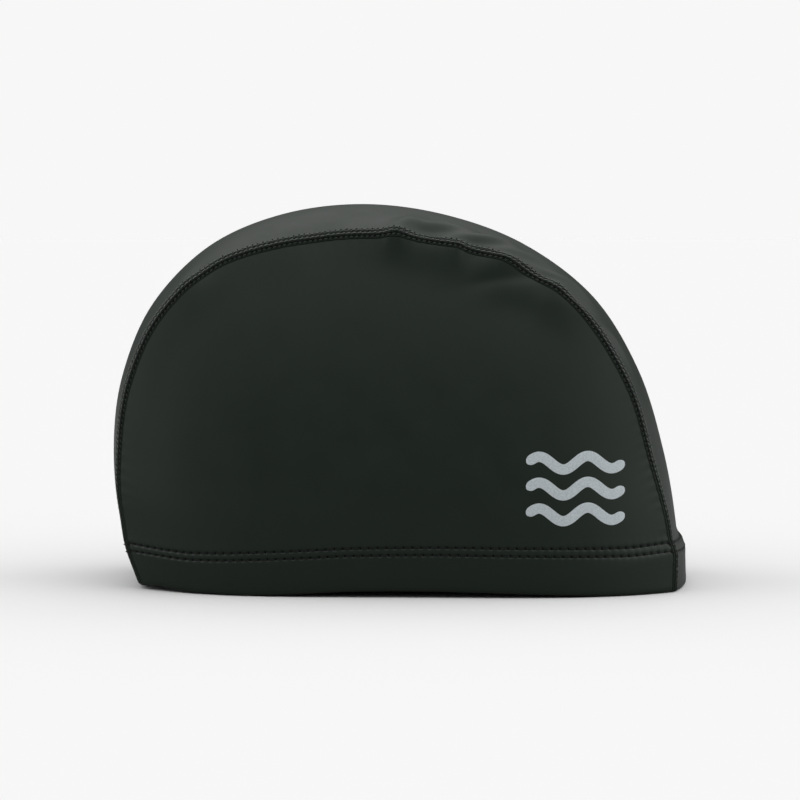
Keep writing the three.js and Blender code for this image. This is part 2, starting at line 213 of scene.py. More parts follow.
def strip_point(station, across):
    """The centre panel's outer face without puckers. across runs from -1 at the right seam to 1 at the left."""
    station, across = alike(station, across)
    values = station_values(station)
    run = unit(along_strip(station, station_values)[..., :2])
    level = smoothstep(values[..., 1], 0, HEM_HEIGHT + LEVEL_HEIGHT)
    out = unit(np.stack([-run[..., 1], run[..., 0] * level], -1))
    mid = values[..., :2] - out * (values[..., 3] * across**2)[..., None]
    flare = flare_at(mid[..., 0], mid[..., 1], across)
    return np.stack([mid[..., 0] + flare, across * values[..., 2], mid[..., 1]], -1)


def levelled(normal, z):
    """A normal turned level near the rim, so that the rim's fold lies in one plane."""
    flat = normal.copy()
    flat[..., 2] *= smoothstep(z, 0, LEVEL_HEIGHT)
    return unit(flat)


def strip_normal(station, across):
    station, across = alike(station, across)
    run = along_strip(station, lambda at: strip_point(at, across))
    side = strip_point(station, across + STEP) - strip_point(station, across - STEP)
    return levelled(unit(np.cross(run, side)), station_values(station)[..., 1])


# The seam from the forehead's rim to the nape's, as seen from the hub.
SEAM_STATION = np.linspace(LAST, 0, TABLE_SIZE)
SEAM_POINT = strip_point(SEAM_STATION, 1.0)
SEAM_ANGLE = np.arctan2(SEAM_POINT[:, 2], SEAM_POINT[:, 0] - HUB_X)
SEAM_RADIUS = np.hypot(SEAM_POINT[:, 2], SEAM_POINT[:, 0] - HUB_X)

# Length along the seam from the rim at the nape.
RUN_STATION = SEAM_STATION[::-1]
RUN = np.concatenate([[0], np.cumsum(np.linalg.norm(np.diff(SEAM_POINT[::-1], axis=0), axis=1))])


def evened(table, column, spread):
    """A column of a table by X, drawn on the even scale with its corners evened out."""
    reach = 3 * spread
    kernel = bell(np.arange(-reach, reach + 1), spread)
    values = np.pad(np.interp(EVEN_X, table[:, 0], table[:, column]), reach, "edge")
    return np.convolve(values, kernel / kernel.sum(), "valid")


WANDER_OUT = {side: evened(WANDER, i, WANDER_SPREAD) for side, i in ((RIGHT, 1), (LEFT, 2))}
UPPER_LINE, RIM_LINE = (evened(HEM_LINE, i, HEM_SPREAD) for i in (1, 2))


def run_at(station):
    return np.interp(station, RUN_STATION, RUN)


def seam_height(run):
    return np.interp(run, RUN, SEAM_POINT[::-1, 2])


def seam_seen(angle):
    """The seam's distance and half width in a direction from the hub, and the power of the bulge there."""
    radius = np.interp(angle, SEAM_ANGLE, SEAM_RADIUS)
    width = np.interp(angle, SEAM_ANGLE, SEAM_POINT[:, 1])
    return radius, width, BULGE_POWER_END + (BULGE_POWER_TOP - BULGE_POWER_END) * np.sin(angle)


def panel_at(x, z):
    """A side panel's half depth at a place of the side view, its station, and its distance from the seam."""
    angle = np.arctan2(np.maximum(z, 0), x - HUB_X)
    radius, width, power = seam_seen(angle)
    share = np.clip(np.hypot(x - HUB_X, z) / radius, 0, 1)
    tuck = TUCK * np.clip(1 - z / TUCK_HEIGHT, 0, 1) ** 2 * (1 - share**2)
    depth = HALF_DEPTH + (width - HALF_DEPTH) * share**power - tuck
    return depth, np.interp(angle, SEAM_ANGLE, SEAM_STATION), (1 - share) * radius


def panel_normal(x, z, side):
    slope_x = (panel_at(x + STEP, z)[0] - panel_at(x - STEP, z)[0]) / (2 * STEP)
    slope_z = (panel_at(x, z + STEP)[0] - panel_at(x, np.maximum(z - STEP, 0))[0]) / (2 * STEP)
    return levelled(unit(np.stack([-slope_x, np.full_like(slope_x, side), -slope_z], -1)), z)


def beside_seam(seam):
    """The place in the side view one millimetre inside the seam."""
    inward = 1 - 1 / np.hypot(seam[..., 0] - HUB_X, seam[..., 2])
    return HUB_X + (seam[..., 0] - HUB_X) * inward, seam[..., 2] * inward


def seam_normal(station, side):
    """The direction that both panels share at the seam, between their two normals."""
    seam = strip_point(station, side)
    both = panel_normal(*beside_seam(seam), side) + strip_normal(station, side * (1 - STEP))
    return levelled(unit(both), seam[..., 2])


def seam_trim(z, above):
    """How far a panel stops short of the seam's line, given how far it does so well above the hem."""
    return TRIM_LOW + (above - TRIM_LOW) * smoothstep(z, TRIM_FROM, TRIM_TO)


def seam_across(run, place):
    """The distance from the seam's line of a place on the band, from -3 at the side panel to 3 at the centre."""
    trim = seam_trim(seam_height(run), np.where(place < 0, TRIM_SIDE, TRIM_CENTRE))
    return place * (trim + SEAM_LAP) / SEAM_HALF_WIDTH


def pucker_depth(station, across, side):
    """How far the puckers and the seam's shifts sink the fabric, at a distance from the seam."""
    depth = np.zeros(np.broadcast(station, across).shape)
    run = run_at(station)
    for row_station, row_across, long, wide, turn, sink in PUCKERS[side]:
        turn = math.radians(turn)
        along, over = run - run_at(row_station), across - row_across
        u = (along * math.cos(turn) + over * math.sin(turn)) / long
        v = (over * math.cos(turn) - along * math.sin(turn)) / wide
        depth = depth + sink * np.exp(-u * u - v * v)
    seam_x = np.interp(station, RUN_STATION, SEAM_POINT[::-1, 0])
    out = np.interp(seam_x, EVEN_X, WANDER_OUT[side])
    return depth - out * bell(across, np.where(across < 0, WANDER_SIDE, WANDER_CENTRE))


def pinch_depth(station, gap):
    """The small uneven gathers that the seam's stitches draw in the cloth beside them."""
    run = run_at(station)
    # The gathers bunch over about 120 mm and swell over about 170.
    beat = np.sin(2 * math.pi * run / PINCH_PITCH + 1.9 * np.sin(run / 19))
    swell = 0.6 + 0.4 * np.sin(run / 27 + 0.8)
    return PINCH_DEPTH * beat * swell * np.exp(-np.maximum(gap - TRIM_LOW, 0) / PINCH_REACH)


def through_fabric(normal, station, gap, side):
    """The way that the fabric's thickness runs, which both panels share beside the seam."""
    share = (1 - smoothstep(gap, SHARED_NEAR, SHARED_REACH))[..., None]
    return unit(normal * (1 - share) + seam_normal(station, side) * share)


def strip_face(station, across, inset=0.0):
    """Points and outward directions on the centre panel, sunk by its puckers and a further inset."""
    station, across = alike(station, across)
    width = station_values(station)[..., 2]
    from_right, from_left = (1 + across) * width, (1 - across) * width
    gap = np.minimum(from_right, from_left)
    flat = strip_normal(station, across)
    by_right = through_fabric(flat, station, gap, RIGHT)
    by_left = through_fabric(flat, station, gap, LEFT)
    normal = np.where((across < 0)[..., None], by_right, by_left)
    sink = pucker_depth(station, from_right, RIGHT) + pucker_depth(station, from_left, LEFT)
    sink = sink + pinch_depth(station, gap) + inset
    return strip_point(station, across) - normal * sink[..., None], normal


def panel_face(x, z, side, inset=0.0):
    """The same on a side panel, at a place of the side view."""
    depth, station, gap = panel_at(x, z)
    normal = through_fabric(panel_normal(x, z, side), station, gap, side)
    sink = pucker_depth(station, -gap, side) + pinch_depth(station, gap) + inset
    return np.stack([x, side * depth, z], -1) - normal * sink[..., None], normal


def seam_face(run, across, height, side):
    """Points and directions over the seam, rounded where its two panels meet. across is positive to the crown."""
    station = np.interp(run, RUN, RUN_STATION)
    seam = strip_point(station, side)
    normal = seam_normal(station, side)
    to_crown = strip_point(station, side * (1 - STEP)) - seam
    x, z = beside_seam(seam)
    to_hub = np.stack([x, side * panel_at(x, z)[0], z], -1) - seam
    level = smoothstep(seam[..., 2], 0, LEVEL_HEIGHT)
    for way in (to_crown, to_hub):
        way[..., 2] *= level
    rounded = np.hypot(across, SEAM_ROUNDING)
    point = seam + unit(to_crown) * ((rounded + across) / 2)[..., None]
    point = point + unit(to_hub) * ((rounded - across) / 2)[..., None]
    lift = height - pucker_depth(station, across, side)
    return point + normal * lift[..., None], normal


# ---- the hem's line


def hem_z(x, h):
    """The height of a hem coordinate, which is 0 at the rim and UPPER_ROW at the upper stitches."""
    share = np.clip(h / UPPER_ROW, 0, 1)
    raised = (np.interp(x, EVEN_X, UPPER_LINE) - UPPER_ROW) * share
    return h + np.interp(x, EVEN_X, RIM_LINE) * (1 - share) + raised * (1 - smoothstep(h, UPPER_ROW, CUFF_TOP))


def farthest(shape, limit, holds):
    """The farthest way, up to a limit, on which a condition still holds, found by halving."""
    low = np.zeros(shape)
    high = low + limit
    for _ in range(SEARCH_STEPS):
        middle = (low + high) / 2
        held = holds(middle)
        low, high = np.where(held, middle, low), np.where(held, high, middle)
    return low


def reach_from(from_x, from_z, angle):
    """How far a side panel reaches from a place of the side view, short of the seam by its trim."""

    def inside(reach):
        x, z = from_x + reach * np.cos(angle), from_z + reach * np.sin(angle)
        radius, width, power = seam_seen(np.arctan2(z, x - HUB_X))
        slope = power * (HALF_DEPTH - width) / radius
        return np.hypot(x - HUB_X, z) < radius - seam_trim(z, TRIM_SIDE) / np.hypot(1, slope)

    return farthest(np.broadcast(from_x, from_z, angle).shape, FAR, inside)


def panel_hem_place(share, h):
    """The place in the side view of a hem coordinate, at a share of the way from the nape to the forehead."""
    x = np.zeros(np.broadcast(share, h).shape)
    for _ in range(HEM_ROUNDS):
        z = hem_z(x, h)
        back = HUB_X - reach_from(HUB_X, z, math.pi)
        front = HUB_X + reach_from(HUB_X, z, 0.0)
        x = back + (front - back) * share
    return x, hem_z(x, h)


def trimmed_across(station, spread):
    """across on the centre panel for a spread from -1 to 1 between its trimmed edges."""
    values = station_values(station)
    trim = seam_trim(strip_point(station, 1.0)[..., 2], TRIM_CENTRE)
    return spread * (1 - trim / np.hypot(values[..., 2], 2 * values[..., 3]))


def station_at(z, across, front):
    """The station where the centre panel reaches a height, on the nape's or the forehead's half."""

    def counted(stations):
        return LAST - stations if front else stations

    shape = np.broadcast(z, across).shape
    return counted(farthest(shape, LAST / 2, lambda way: strip_point(counted(way), across)[..., 2] < z))


def strip_hem_place(spread, h, front):
    """Station and across of a hem coordinate on the centre panel."""
    station = np.full(np.broadcast(spread, h).shape, LAST - 0.5 if front else 0.5)
    for _ in range(HEM_ROUNDS):
        across = trimmed_across(station, spread)
        x = strip_point(station, across)[..., 0]
        station = station_at(hem_z(x, h), across, front)
    return station, trimmed_across(station, spread)


# ---- meshes

# A length of thread narrows to this share of its radius at its ends.
THREAD_END = 0.4


def bridge(a, b, points):
    """Faces between two rows of vertex numbers, with triangles on short diagonals where their lengths differ."""
    if len(a) == len(b):
        return list(zip(a[:-1], a[1:], b[1:], b[:-1]))
    faces, i, j = [], 0, 0
    while i < len(a) - 1 or j < len(b) - 1:
        along_a = i < len(a) - 1 and (
            j == len(b) - 1
            or np.sum((points[a[i + 1]] - points[b[j]]) ** 2) <= np.sum((points[a[i]] - points[b[j + 1]]) ** 2)
        )
        if along_a:
            faces.append((a[i], a[i + 1], b[j]))
            i += 1
        else:
            faces.append((a[i], b[j + 1], b[j]))
            j += 1
    return faces


def closed_shell(outer, inner):
    """Points and faces of the wall between two stacks of rows of points that run the same way."""
    points = np.vstack([*outer, *inner])
    ends = np.cumsum([len(row) for row in [*outer, *inner]]).tolist()
    rows = [list(range(start, end)) for start, end in zip([0, *ends], ends)]
    outside, inside = rows[: len(outer)], rows[len(outer) :]
    faces = []
    for a, b in zip(outside, outside[1:]):
        faces += bridge(a, b, points)
    for a, b in zip(inside, inside[1:]):
        faces += bridge(b, a, points)
    faces += bridge(inside[0], outside[0], points)
    faces += bridge(outside[-1], inside[-1], points)
    faces += bridge([row[0] for row in outside], [row[0] for row in inside], points)
    faces += bridge([row[-1] for row in inside], [row[-1] for row in outside], points)
    return points, faces


def ring_shapes(rings):
    """Points and faces of closed shapes, from their rings, of shape (shapes, rings, sides, 3)."""
    number = np.arange(rings.size // 3).reshape(rings.shape[:3])
    turned = np.roll(number, -1, axis=2)
    walls = np.stack([number[:, :-1], turned[:, :-1], turned[:, 1:], number[:, 1:]], -1)
    faces = walls.reshape(-1, 4).tolist() + number[:, 0, ::-1].tolist() + number[:, -1].tolist()
    return rings.reshape(-1, 3), faces


def round_turn(sides):
    """The angles round a ring, as a column."""
    return 2 * math.pi * np.arange(sides)[:, None] / sides


def tubes(paths, ups, radius, sides):
    """Points and faces of threads along paths of shape (threads, points, 3), narrowed at their ends."""
    along = unit(np.gradient(paths, axis=1))
    across = unit(np.cross(along, ups))
    up = np.cross(across, along)
    size = np.full(paths.shape[1], radius)
    size[[0, -1]] *= THREAD_END
    turn = round_turn(sides)
    ring = np.cos(turn) * across[:, :, None] + np.sin(turn) * up[:, :, None]
    return ring_shapes(paths[:, :, None] + size[None, :, None, None] * ring)


def joined(parts):
    """Several lists of points and faces as one."""
    points, faces, start = [], [], 0
    for part_points, part_faces in parts:
        points.append(part_points)
        faces += [tuple(v + start for v in face) for face in part_faces]
        start += len(part_points)
    return np.vstack(points), faces


def add_piece(name, points, faces, materials, slot, second=(0, 0)):
    """A smooth closed mesh from points in millimetres, riding on the cap's only body.

    Faces whose points are all numbered in the range second take the second material."""
    mesh = bpy.data.meshes.new(name)
    mesh.from_pydata((points * MM).tolist(), [], faces)
    shape = bmesh.new()
    shape.from_mesh(mesh)
    inside_out = shape.calc_volume(signed=True) < 0
    shape.free()
    if inside_out:
        mesh.flip_normals()
    for material in materials:
        mesh.materials.append(material)
    in_second = [int(min(face) >= second[0] and max(face) < second[1]) for face in faces]
    mesh.polygons.foreach_set("material_index", in_second)
    mesh.polygons.foreach_set("use_smooth", np.ones(len(faces), bool))
    mesh.set_sharp_from_angle(angle=math.radians(55))
    piece = bpy.data.objects.new(name, mesh)
    bpy.context.scene.collection.objects.link(piece)
    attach(piece, "root")
    return piece


def settings(context):
    """The cap's sizes and its colours."""
    return context.scene.swim_cap_sizes, context.scene.swim_cap_colours


# ---- materials

# A wave texture of scale one turns by this many radians over one unit.
WAVE_RADIANS = 20


def srgb(hex_color):
    """A hex colour as the linear values that Blender's colour sockets take."""
    channels = [int(hex_color[i : i + 2], 16) / 255 for i in (0, 2, 4)]
    return tuple(c / 12.92 if c <= 0.04045 else ((c + 0.055) / 1.055) ** 2.4 for c in channels)


def add_node(tree, kind, inputs=None, **choices):
    """A shader node with its choices made, whose inputs are linked from sockets or set to values."""
    node = tree.nodes.new(f"ShaderNode{kind}")
    for name, value in choices.items():
        setattr(node, name, value)
    for socket, value in (inputs or {}).items():
        if isinstance(value, bpy.types.NodeSocket):
            tree.links.new(value, node.inputs[socket])
        else:
            node.inputs[socket].default_value = value
    return node


def new_material(name):
    """A material, its empty tree, and the piece's own coordinates, in metres."""
    material = bpy.data.materials.new(name)
    material.use_nodes = True
    tree = material.node_tree
    tree.nodes.clear()
    return material, tree, add_node(tree, "TexCoord").outputs["Object"]


def tint(colour, share=1.0):
    """A colour made darker or lighter, as a colour socket takes it."""
    return *(share * c for c in colour), 1.0


def finish_material(material, tone, finish, relief=None):
    """The material with its shader, whose further inputs finish gives.

    tone is a mask and the two colours that it mixes. relief is a height, its strength and its depth in metres."""
    tree = material.node_tree
    colour = add_node(tree, "Mix", dict(zip((0, 6, 7), tone)), data_type="RGBA")
    inputs = {"Base Color": colour.outputs[2], **finish}
    if relief:
        bumps = add_node(tree, "Bump", dict(zip(("Height", "Strength", "Distance"), relief)))
        inputs["Normal"] = bumps.outputs["Normal"]
    shader = add_node(tree, "BsdfPrincipled", inputs)
    add_node(tree, "OutputMaterial", {"Surface": shader.outputs["BSDF"]})
    return material


def coated_knit(colours):
    """Polyurethane-coated polyester knit, with the coat cast on release paper and bonded to the cloth.

    The coat gives a satin, near-black face with a wide soft highlight, a fine dull grain, and faint cloudy
    changes of gloss where the stretched knit shows through it."""
    made = bpy.data.materials.get("polyurethane_coated_knit")
    if made:
        return made
    material, tree, place = new_material("polyurethane_coated_knit")
    # The release paper's grain is about 0.15 mm across, and is drawn at 0.6 mm so that it shows.
    grain = add_node(tree, "TexNoise", {"Vector": place, "Scale": 1 / 0.0006, "Detail": 2.0, "Roughness": 0.55})
    # The knit's tension changes over some 14 mm.
    cloud = add_node(tree, "TexNoise", {"Vector": place, "Scale": 1 / 0.014, "Detail": 3.0}).outputs["Fac"]
    dull = {"Value": cloud, "From Min": 0.3, "From Max": 0.7, "To Min": 0.43, "To Max": 0.50}
    roughness = add_node(tree, "MapRange", dull).outputs["Result"]
    finish = {"Roughness": roughness, "IOR": 1.5, "Specular IOR Level": 0.34}
    tone = cloud, tint(colours.coat), tint(colours.coat, 1.18)
    return finish_material(material, tone, finish, (grain.outputs["Fac"], 0.12, 0.00005))


def bare_knit(colours):
    """Warp-knitted polyester, dyed in the piece and left bare inside the cap.

    Its fine upright ribs scatter the light, so it looks matte and a little paler than the coated face."""
    material, tree, place = new_material("bare_polyester_knit")
    # The wales lie 0.45 mm apart, and are drawn at a radian in 0.9 mm, or 5.7 mm apart, so that they show.
    ribs = {"Vector": place, "Scale": 1 / (0.0009 * WAVE_RADIANS), "Distortion": 0.6, "Detail": 1.0}
    wales = add_node(tree, "TexWave", ribs, bands_direction="X").outputs["Fac"]
    # Loose fibres make tufts of some 0.5 mm.
    fibre = add_node(tree, "TexNoise", {"Vector": place, "Scale": 1 / 0.0005, "Detail": 3.0}).outputs["Fac"]
    height = add_node(tree, "Math", {0: wales, 1: fibre}, operation="ADD")
    finish = {"Roughness": 0.92, "Specular IOR Level": 0.2, "Sheen Weight": 0.1, "Sheen Roughness": 0.5}
    tone = fibre, tint(colours.knit, 0.7), tint(colours.knit, 1.3)
    return finish_material(material, tone, finish, (height.outputs["Value"], 0.5, 0.0001))


def thread_material(name, colour, roughness, specular, tuft):
    """A dyed polyester thread, whose filaments are drawn as tufts of the given size in metres."""
    material, tree, place = new_material(name)
    tufts = add_node(tree, "TexNoise", {"Vector": place, "Scale": 1 / tuft, "Detail": 2.0}).outputs["Fac"]
    finish = {"Roughness": roughness, "Specular IOR Level": specular}
    return finish_material(material, (tufts, tint(colour, 0.6), tint(colour, 1.4)), finish, (tufts, 0.5, 0.00005))


def textured_thread(colours):
    """Textured polyester sewing thread, crimped and dyed black, and pulled down into the cloth.

    Its loose filaments scatter the little light that reaches them, so it reads as a dark matte line."""
    # Filaments are about 0.02 mm thick, and are drawn as tufts of 0.25 mm so that they show.
    return thread_material("textured_polyester_thread", colours.thread, 0.9, 0.12, 0.00025)


def filament_thread(colours):
    """Continuous-filament polyester cover thread, twisted smooth and dyed.

    Its straight filaments give each stitch on the seam a satin light, and its colour, much lighter than the
    coat's, partly paints that highlight."""
    # The thread's plies are about 0.12 mm thick, and are drawn at 0.2 mm so that they show.
    return thread_material("filament_polyester_thread", colours.cover_thread_and_sheen, 0.42, 0.5, 0.0002)


def spun_thread(colours):
    """Spun polyester hem thread, about as dark as the coat, lying tight in its groove.

    It is soft and dull, so the row shows as a faint line between the holes."""
    # Fibres stand off by some 0.1 mm, and are drawn as tufts of 0.25 mm so that they show.
    return thread_material("spun_polyester_thread", colours.hem_thread, 0.8, 0.25, 0.00025)


def screen_print_ink(colours):
    """Stretch silicone ink, screen-printed through a mesh and cured.

    It gives a flat pale film with a low satin shine, a little thinner where the mesh let less through."""
    material, tree, place = new_material("screen_printed_ink")
    # The screen's threads lie 0.16 mm apart, and its print is drawn in specks of 0.5 mm so that they show.
    specks = add_node(tree, "TexNoise", {"Vector": place, "Scale": 1 / 0.0005, "Detail": 2.0}).outputs["Fac"]
    mesh = {"Value": specks, "From Min": 0.35, "From Max": 0.6, "To Min": 0.0, "To Max": 1.0}
    cover = add_node(tree, "MapRange", mesh).outputs["Result"]
    finish = {"Roughness": 0.5, "IOR": 1.43, "Specular IOR Level": 0.4}
    tone = cover, tint(colours.ink, 0.82), tint(colours.ink)
    return finish_material(material, tone, finish, (specks, 0.15, 0.00003))


def studio_paper(colours):
    """Seamless background paper, rolled out flat, which is matte and almost white.

    It throws back only part of its light, as with black cards laid beside the cap, so the cap's lower half
    stays dark."""
    material, tree, place = new_material("seamless_paper")
    # Paper pulp clouds over some 30 mm.
    pulp = add_node(tree, "TexNoise", {"Vector": place, "Scale": 1 / 0.03, "Detail": 3.0}).outputs["Fac"]
    clouds = {0: pulp, 6: tint(colours.paper, 0.995), 7: tint(colours.paper)}
    face = add_node(tree, "Mix", clouds, data_type="RGBA").outputs[2]
    seen = add_node(tree, "LightPath").outputs["Is Camera Ray"]
    tone = seen, tint(colours.paper, 0.42), face
    return finish_material(material, tone, {"Roughness": 1.0, "Specular IOR Level": 0.0})


# ---- fabric panels

# What the hem's stitches do to the cloth: the groove along a row and the pit at a hole, each with its depth
# and width, and the puffs between the rows, above them and below them, each with its height, swell and width.
GROOVE_DEPTH, GROOVE_WIDTH = 0.16, 0.5
PIT_DEPTH, PIT_WIDTH = 0.5, 0.55
PUFFS = (
    ((UPPER_ROW + LOWER_ROW) / 2, 0.12, 0.9),
    (UPPER_ROW + 1.5, 0.1, 1.1),
    (LOWER_ROW - 1.6, 0.1, 1.2),
)

# The hem's turned edge at the forehead, which stands out like a lip below its upper stitches: the height of the
# lip and of the groove over it, and how far each sinks.
LIP = ((UPPER_ROW - 0.5, -0.35), (UPPER_ROW + 0.7, 0.45))
LIP_WIDTH = 0.6

# Shares of the way along a part of the hem, at which its rows are measured.
SHARES = np.linspace(0, 1, 801)


def fold_rows(radius):
    """Hem coordinates and insets round the outer half of a fold, from its lowest line upward."""
    turns = [math.radians(a) for a in (90, 60, 30)]
    return [(radius * (1 - math.sin(a)), radius * (1 - math.cos(a))) for a in turns]


def outer_hem_rows():
    """Hem coordinates up the outside, close together round the stitches, each with its inset."""
    plain = [FOLD_RADIUS, 2.6, 4.4, 6.2, 8.0, 9.8, 11.4, 12.6]
    sewn = np.arange(LOWER_ROW - 1.6, UPPER_ROW + 1.7, 0.32).tolist()
    cuff = [20.2, 21.4, 22.8, 24.4, 26.2, 28.2, CUFF_TOP]
    return fold_rows(FOLD_RADIUS) + [(h, 0.0) for h in [*plain, *sewn, *cuff]]


def inner_hem_rows():
    """The same up the inside: the fold, the doubled hem, and the wall above it."""
    fold = [(h, HEM_WALL - inset) for h, inset in fold_rows(FOLD_RADIUS)[1:]]
    doubled = [(h, HEM_WALL) for h in (FOLD_RADIUS, 5.0, 10.0, 15.0, HEM_HEIGHT - 0.5)]
    above = [(HEM_HEIGHT, HEM_WALL - 0.3), (HEM_HEIGHT + HEM_STEP, WALL), (25.0, WALL), (CUFF_TOP, WALL)]
    return fold + doubled, above


def from_hole(length, pitch):
    return np.abs(length / pitch - np.round(length / pitch)) * pitch


def hem_relief(h, from_holes, pitch):
    """How far the stitches sink the hem, given the distances along each of its rows to the nearest hole."""
    sink = 0.0
    for row, along in zip(ROWS, from_holes):
        sink = sink + GROOVE_DEPTH * bell(h - row, GROOVE_WIDTH)
        sink = sink + PIT_DEPTH * bell(h - row, PIT_WIDTH) * bell(along, PIT_WIDTH)
    full = 0.75 + 0.25 * np.cos(2 * math.pi * (0.5 + from_holes[0] / pitch))
    for height, swell, width in PUFFS:
        sink = sink - swell * bell(h - height, width) * full
    return sink


def hem_face(part, share, h, inset=0.0):
    """Points and directions on a part of the hem, right, left, nape or forehead, at a share of the way along."""
    if part in SIDES:
        return panel_face(*panel_hem_place(share, h), SIDES[part], inset)
    return strip_face(*strip_hem_place(2 * share - 1, h, part == "forehead"), inset)


def row_line(part, h, pitch):
    """Length along a row of stitches at each of SHARES, and the even pitch that fills it with whole stitches."""
    steps = np.diff(hem_face(part, SHARES, h)[0], axis=0)
    length = np.concatenate([[0], np.cumsum(np.linalg.norm(steps, axis=1))])
    return length, length[-1] / round(length[-1] / pitch)


def hem_rows(part, rows, columns, pitch=None):
    """Rows of points on one part of the hem, with the relief of its stitches where their pitch is given."""
    share = np.linspace(0, 1, columns + 1)
    if pitch:
        lines = [row_line(part, h, pitch) for h in ROWS]
        from_holes = [from_hole(np.interp(share, SHARES, length), even) for length, even in lines]
    made = []
    for h, inset in rows:
        if pitch and h > FOLD_RADIUS:
            inset = inset + hem_relief(h, from_holes, pitch)
            if part == "forehead":
                inset = inset + sum(sink * bell(h - height, LIP_WIDTH) for height, sink in LIP)
        made.append(hem_face(part, share, h, inset)[0])
    return made


# The power by which a panel's upper rows and columns draw closer together towards its edges.
EASE = 1.3


def eased(count):
    """Shares from -1 to 1 that draw closer together towards both ends."""
    s = np.linspace(-1, 1, count + 1)
    return np.sign(s) * (1 - (1 - np.abs(s)) ** EASE)


def side_upper_rows(side, columns, count, inset):
    """Rows above the hem: a square grid mapped to the half round of the panel."""
    back, front = (HUB_X + way * reach_from(HUB_X, CUFF_TOP, a) for way, a in ((-1, math.pi), (1, 0.0)))
    middle = (back + front) / 2
    u = eased(columns)
    made = []
    for v in 1 - (1 - np.arange(1, count + 1) / count) ** EASE:
        a, b = u * np.sqrt(1 - v * v / 2), v * np.sqrt(1 - u * u / 2)
        angle = np.arctan2(b, a)
        reach = np.hypot(a, b) * reach_from(middle, CUFF_TOP, angle)
        x, z = middle + reach * np.cos(angle), CUFF_TOP + reach * np.sin(angle)
        made.append(panel_face(x, z, side, inset)[0])
    return made


def side_panel_mesh(part, pitch):
    """A side panel's points and faces, and where the points of its bare inside start."""
    side = SIDES[part]
    turned_in, above = inner_hem_rows()
    outer = hem_rows(part, outer_hem_rows(), 540, pitch) + side_upper_rows(side, 240, 120, 0.0)
    coated = hem_rows(part, turned_in, 120)
    bare = hem_rows(part, above, 120) + side_upper_rows(side, 120, 60, WALL)
    return *closed_shell(outer, coated + bare), sum(map(len, outer + coated))


def strip_upper_rows(columns, count, inset):
    """Rows over the crown from the nape's cuff to the forehead's, between the levels of both cuffs."""
    spread = eased(columns)
    back, front = (strip_hem_place(spread, CUFF_TOP, f)[0] for f in (False, True))
    made = []
    for share in np.arange(1, count) / count:
        station = back + (front - back) * share
        made.append(strip_face(station, trimmed_across(station, spread), inset)[0])
    return made


def centre_panel_mesh(pitch):
    """The centre panel's points and faces, and where the points of its bare inside start and end."""

    def over_crown(ends, crown):
        nape, forehead = ends
        return nape + crown + forehead[::-1]

    turned_in, above = inner_hem_rows()
    sewn = [hem_rows(part, outer_hem_rows(), 190, pitch) for part in ENDS]
    outer = over_crown(sewn, strip_upper_rows(80, 400, 0.0))
    bare = over_crown([hem_rows(part, above, 48) for part in ENDS], strip_upper_rows(40, 200, WALL))
    coated = [hem_rows(part, turned_in, 48) for part in ENDS]
    bare_from = sum(map(len, outer + coated[0]))
    return *closed_shell(outer, over_crown(coated, bare)), bare_from, bare_from + sum(map(len, bare))


class SWIMCAP_OT_fabric_panels(bpy.types.Operator):
    """Make the two side panels and the centre panel, each with its turned-in hem"""

    bl_idname = "swim_cap.fabric_panels"
    bl_label = "Fabric panels"

    def execute(self, context):
        sizes, colours = settings(context)
        finishes = [coated_knit(colours), bare_knit(colours)]
        pitch = sizes.hem_stitch / MM
        for part in SIDES:
            points, faces, bare_from = side_panel_mesh(part, pitch)
            second = (bare_from, len(points))
            piece = add_piece(f"side_panel_{part}_fabric", points, faces, finishes, "coated_fabric", second)
            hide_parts(f"side_panel_{part}")
        points, faces, *second = centre_panel_mesh(pitch)
        piece = add_piece("centre_panel_fabric", points, faces, finishes, "coated_fabric", second)
        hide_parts("centre_panel")
        return {"FINISHED"}


# ---- flatlock seams

# Places on the band, from -3 to 3: its outer furrows, and the pitch of its ridges. Four needles sew it.
FURROW = 2.45
RIDGE = 2 * FURROW / 3
NEEDLES = (-FURROW, -FURROW / 3, FURROW / 3, FURROW)

# Heights on the band: its middle, how far ridges rise and furrows sink from it, and how far its edges drop,
# then the depth and width of its pits at the needle holes.
BAND_MIDDLE, RIDGE_RISE, EDGE_DROP = 0.1, 0.22, 0.45
NEEDLE_PIT_DEPTH, NEEDLE_PIT_WIDTH = 0.25, 0.4

# How much thicker than the hem the band's fold at the rim is, and how far its back lies inside the fabric's.
BAND_FOLD_EXTRA, BAND_BACK = 0.5, 0.25

# The length left without stitches at both ends of a seam.
UNSEWN = 1.5

# How much deeper the ridges' threads lie in the hem than over the crown, and the heights where that changes.
DEEPER, DEEPER_FROM, DEEPER_TO = 0.4, 20.0, 85.0


def band_height(place, run, pitch):
    """The seam's height over its panels: three ridges of lapped cloth between four sewn furrows."""
    turn = np.cos(2 * math.pi * place / RIDGE)
    edge = smoothstep(np.abs(place), FURROW - 0.35, FURROW + 0.1)
    pit = np.clip(-turn, 0, 1) * bell(from_hole(run, pitch), NEEDLE_PIT_WIDTH)
    return BAND_MIDDLE + RIDGE_RISE * turn - EDGE_DROP * edge - NEEDLE_PIT_DEPTH * pit


def seam_ends(side):
    """Where along the seam its band starts at the nape's rim, and where it ends at the forehead's."""
    lifts = [float(hem_z(strip_point(station, side)[0], 0.0)) for station in (0, LAST)]
    return lifts[0], RUN[-1] - lifts[1]


